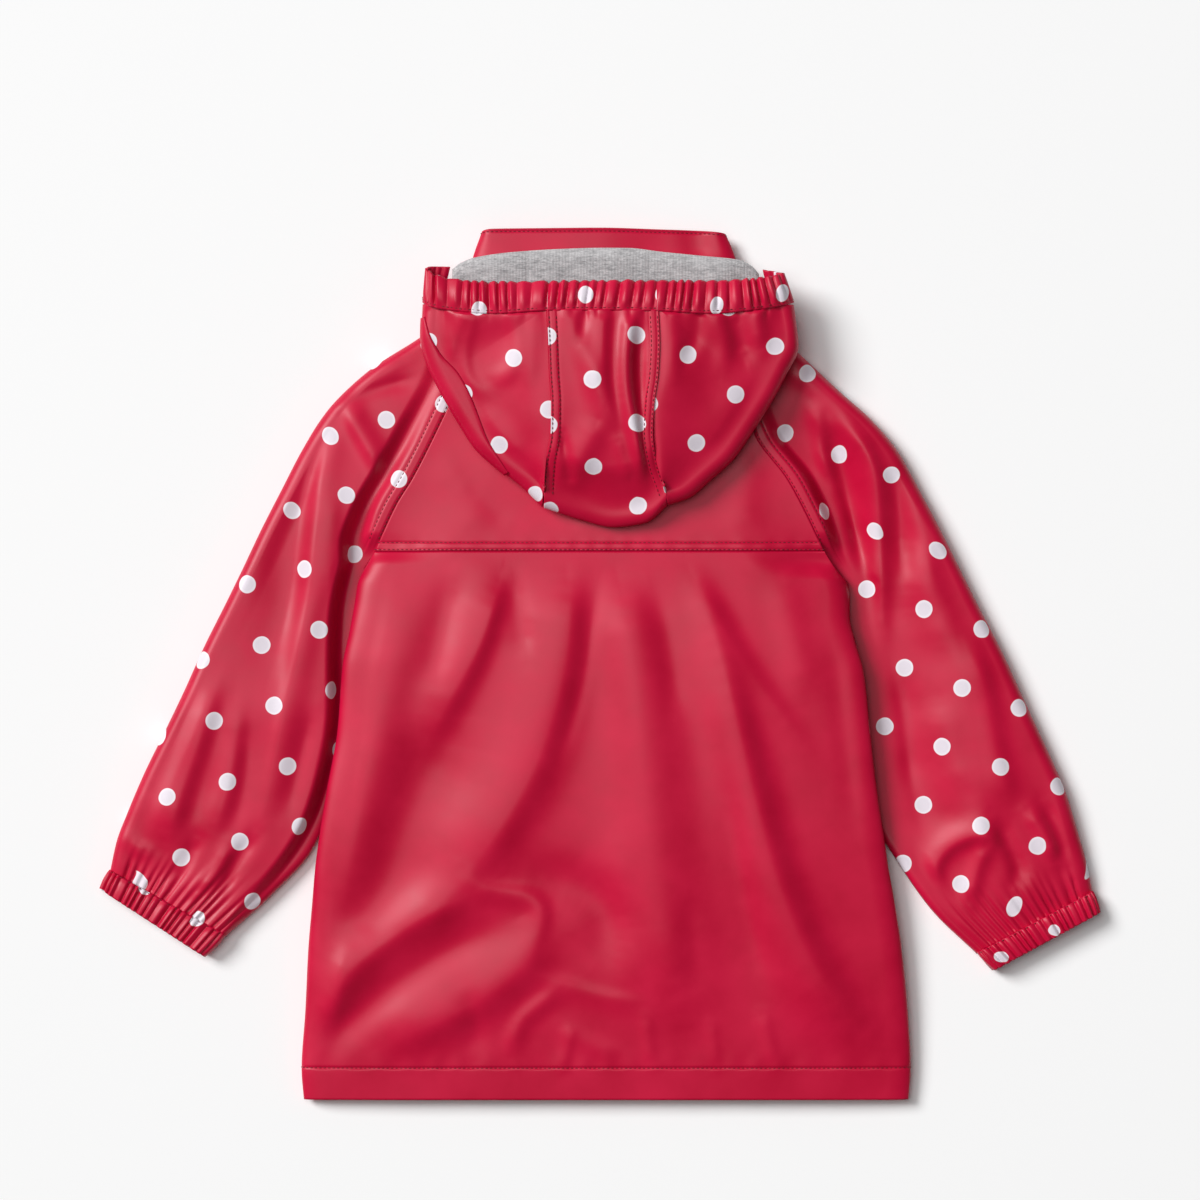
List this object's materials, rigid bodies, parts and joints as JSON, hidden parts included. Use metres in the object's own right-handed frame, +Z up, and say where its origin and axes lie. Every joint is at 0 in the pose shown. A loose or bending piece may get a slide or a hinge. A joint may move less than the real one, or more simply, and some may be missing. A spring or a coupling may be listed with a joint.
{
  "type": "kids rain jacket laid flat",
  "caption": "Child's coated rain jacket laid face down: plain back and yoke, dotted raglan sleeves with gathered cuffs, dotted hood folded back, stand collar.",
  "frame": {"origin": "middle of the jacket's box, on the table that it lies on", "axes": "+X the wearer's right, +Y towards the collar, +Z up from the table"},
  "size_m": [0.6674, 0.5814, 0.0523],
  "materials": {
    "coated_red": "soft satin polyurethane coating",
    "coated_dotted": "soft satin polyurethane coating with printed white dots",
    "grey_jersey": "melange jersey",
    "stud_metal": "brushed"
  },
  "bodies": {
    "root": {"back_body": "coated_red", "back_yoke": "coated_red", "front_left": "coated_red", "front_right": "coated_red", "stand_collar": "coated_red", "hood_neck_strip": "coated_red", "hood_lining": "grey_jersey", "sleeve_left_top": "coated_dotted", "sleeve_left_under": "coated_dotted", "sleeve_right_top": "coated_dotted", "sleeve_right_under": "coated_dotted", "cuff_left": "coated_dotted", "cuff_right": "coated_dotted", "hood_left": "coated_dotted", "hood_right": "coated_dotted", "hood_centre": "coated_dotted", "hood_mouth_casing": "coated_dotted", "press_stud_1": "stud_metal", "press_stud_2": "stud_metal", "press_stud_3": "stud_metal", "press_stud_4": "stud_metal", "press_stud_5": "stud_metal"}
  },
  "joints": []
}
